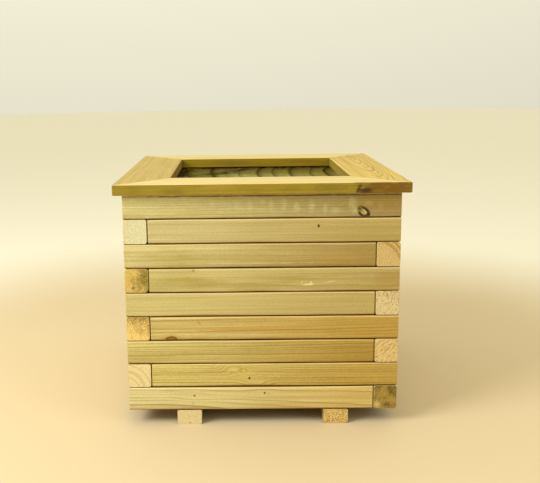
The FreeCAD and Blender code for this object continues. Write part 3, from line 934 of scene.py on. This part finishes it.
CAP_BOARDS = {
    "cap_front_board": cap_board(
        pith=(-200, -40), ring=7, late_share=0.35, browned_share=0.3,
        early=colour(216, 195, 131), late=colour(184, 154, 82), narrow=colour(177, 169, 71),
        marks=(
            Mark(-225, -2, 26, 12, MOSS, 0.25),
            Mark(-155, -3, 34, 9, MOSS, 0.5),
            Mark(-75, 4, 50, 6, HONEY, 0.35),
            Mark(-10, -4, 26, 7, MOSS, 0.35),
            Mark(50, -1, 30, 8, MOSS, 0.35),
            Mark(118, 1, 44, 10, MOSS, 0.5),
            Mark(238, 0, 62, 24, CAP_STAIN, 0.95),
            Mark(197, 1, 42, 30, CAP_STAIN, 0.95),
            Mark(180, -5, 21, 10, colour(62, 38, 2), 0.9, 4),
            Mark(169, -1, 5, 15, colour(66, 40, 4), 0.9, -25),
            Mark(170, 9.5, 14, 3.5, colour(96, 60, 20), 0.9),
            # Painted shade along the lower front edge.
            Mark(0, -9.6, WHOLE_LENGTH, 1.6, colour(78, 50, 8), 0.75),
        ),
    ),
    "cap_left_board": cap_board(
        pith=(6, -25), lean=(0, 200), ring=3.6, wander=3, late_share=0.7,
        early=colour(190, 165, 92), late=colour(136, 104, 30), narrow=colour(192, 180, 70),
    ),
    "cap_right_board": cap_board(
        pith=(-2, -7), lean=(0, 100), ring=4.4, wander=5, late_share=0.8,
        early=colour(212, 181, 92), late=colour(120, 88, 28), narrow=colour(190, 190, 140),
        marks=(Mark(178, -6, 12, 16, BROWN, 0.45, face="top"),),
    ),
    "cap_back_board": cap_board(
        pith=(200, -40), ring=7, late_share=0.35,
        early=colour(219, 196, 130), late=colour(184, 154, 82), narrow=colour(174, 165, 36),
        marks=(
            Mark(-110, 2, 60, 8, MOSS, 0.4, face="inner"),
            Mark(60, 0, 70, 9, MOSS, 0.35, face="inner"),
        ),
    ),
}

KNOWN_TIMBERS = {**FRONT_TIMBERS, **INSIDE_TIMBERS, **SAWN_TIMBERS, **CAP_BOARDS}

BATTEN_EASE_SHARE = 0.3
BOARD_EASE_SHARE = 0.2


def wood_of(node):
    return KNOWN_TIMBERS[node] if node in KNOWN_TIMBERS else chance_wood(node)


def walls():
    for course in range(1, COURSES + 1):
        kind = "rail" if course == COURSES else "batten"
        for side in SIDES:
            node = f"course_{course}_{side}_{kind}"
            timber(node, side, BATTEN_EASE_SHARE, wood_of(node))


def cap():
    for side in SIDES:
        node = f"cap_{side}_board"
        timber(node, side, BOARD_EASE_SHARE, wood_of(node), mitred=True)


def runners():
    """They lie from front to back, as the timbers of the left side do."""
    for node in ("left_runner", "right_runner"):
        dress(node, wood_material(node, wood_of(node), *timber_place(node, "left")))


def floor_slats():
    for slat in range(1, SLATS + 1):
        node = f"floor_slat_{slat}"
        # Floor slats: no worn pale edges with painted highlight, no dirt with painted shade.
        untinted = replace(wood_of(node), rubbed_and_lit_share=0, dirt_and_shade_share=0)
        dress(node, wood_material(node, untinted, *timber_place(node, "front")))


# Fasteners

FASTENERS = (
    "even_course_screws", "odd_course_screws", "top_course_screws",
    "runner_screws", "floor_screws", "cap_nails",
)
SPANGLE_SIZE = (1.2 * MM, 1.2 * MM, 1.2 * MM)
SPANGLE_RISE = (0.35, 0.65)
SPANGLE_STRENGTH = 0.3
SPANGLE_DEPTH = 0.1 * MM
DULL_ZINC = colour(176, 172, 158)
BRIGHT_ZINC = colour(206, 204, 196)
ZINC_ROUGHNESS_RISE = (0.3, 0.7)
ZINC_ROUGHNESS = (0.28, 0.42)


def zinc():
    """Zinc plate: cloudy grey with a faint yellow cast."""
    graph = Graph(bpy.data.materials.new("zinc_plate"))
    spangle = graph.noise(graph.here(), SPANGLE_SIZE, detail=3.0)
    graph.shade(
        Base_Color=graph.mix(graph.ramp(spangle, *SPANGLE_RISE), DULL_ZINC, BRIGHT_ZINC),
        Roughness=graph.ramp(spangle, *ZINC_ROUGHNESS_RISE, *ZINC_ROUGHNESS),
        Metallic=1.0,
        Normal=graph.bump(spangle, SPANGLE_STRENGTH, SPANGLE_DEPTH),
    )
    return graph.owner


def fasteners():
    plate = zinc()
    for node in FASTENERS:
        dress(node, plate)


# Camera, in pixels of the picture, shares of its width, metres and degrees

IMAGE_WIDTH = 540
FOCAL_PIXELS = 782.67
AXIS_RIGHT_SHARE = 0.082
AXIS_UP_SHARE = -0.0359
CAMERA_PLACE = (-0.04461, -1.61272, 0.63418)
LEVEL_TILT = 90
CAMERA_YAW = 0.804
CAMERA_PITCH = 10.465
CAMERA_ROLL = -0.761


def camera():
    data = bpy.data.cameras.new("camera")
    data.sensor_fit = "HORIZONTAL"
    data.lens = FOCAL_PIXELS * data.sensor_width / IMAGE_WIDTH
    data.shift_x = AXIS_RIGHT_SHARE
    data.shift_y = AXIS_UP_SHARE
    obj = bpy.data.objects.new("camera", data)
    turns = ((CAMERA_YAW, "Z"), (LEVEL_TILT - CAMERA_PITCH, "X"), (CAMERA_ROLL, "Z"))
    obj.matrix_world = Matrix.Translation(CAMERA_PLACE)
    for degrees, axis in turns:
        obj.matrix_world = obj.matrix_world @ Matrix.Rotation(math.radians(degrees), 4, axis)
    bpy.context.scene.collection.objects.link(obj)
    bpy.context.scene.camera = obj


# Stage and light, in metres and watts

FLOOR_TINT = (0.64, 0.51, 0.31, 1)
FAR_FLOOR_TINT = (0.84, 0.80, 0.66, 1)
WARM_FLOOR = (0.7, 1.6)
FLOOR_ROUGHNESS = 0.9
FLOOR_RADIUS = 14
FLOOR_STEPS = 96
FLOOR_DROP = 0.2 * MM
SKY_TINT = (1.0, 0.955, 0.75, 1)
SKY_STRENGTH = 0.52
SKY_RISE = (-0.06, 0.3, 0.65)
LIGHTS = {
    "key": {"place": (-1.9, -1.35, 1.75), "aim": (0, -0.2, 0.25), "width": 1.2, "watts": 60},
    "fill": {"place": (2.1, -1.5, 1.5), "aim": (0.3, -0.1, 0.1), "width": 1.8, "watts": 16},
}


def area_light(name, place, aim, width, watts):
    data = bpy.data.lights.new(name, "AREA")
    data.size = width
    data.energy = watts
    obj = bpy.data.objects.new(name, data)
    obj.location = place
    obj.rotation_euler = (Vector(aim) - Vector(place)).to_track_quat("-Z", "Y").to_euler()
    bpy.context.scene.collection.objects.link(obj)


def floor_material():
    """Warm under the planter and paler further off."""
    graph = Graph(bpy.data.materials.new("pale_floor"))
    away = graph.ramp(graph.vector("LENGTH", graph.here()), *WARM_FLOOR)
    graph.shade(Base_Color=graph.mix(away, FLOOR_TINT, FAR_FLOOR_TINT), Roughness=FLOOR_ROUGHNESS)
    return graph.owner


def stage():
    """A wide round floor, just below the undersides of the runners."""
    verts = []
    for step in range(FLOOR_STEPS):
        angle = math.tau * step / FLOOR_STEPS
        verts.append((FLOOR_RADIUS * math.cos(angle), FLOOR_RADIUS * math.sin(angle), -FLOOR_DROP))
    mesh = bpy.data.meshes.new("stage")
    mesh.from_pydata(verts, [], [tuple(range(FLOOR_STEPS))])
    mesh.materials.append(floor_material())
    obj = bpy.data.objects.new("stage", mesh)
    bpy.context.scene.collection.objects.link(obj)


def world():
    """A soft studio, bright above and behind the planter and dimmer low down in front of it."""
    graph = Graph(bpy.data.worlds.new("studio"))
    direction = graph.add("ShaderNodeTexCoord")
    rise = graph.vector("DOT_PRODUCT", direction, SKY_RISE)
    background = graph.tree.nodes["Background"]
    graph.feed(background.inputs["Color"], SKY_TINT)
    graph.feed(background.inputs["Strength"], graph.math("ADD", rise, SKY_STRENGTH))
    bpy.context.scene.world = graph.owner


walls()
cap()
runners()
floor_slats()
fasteners()
camera()
stage()
world()
for light, settings in LIGHTS.items():
    area_light(light, **settings)
bpy.context.scene.view_settings.view_transform = "Standard"
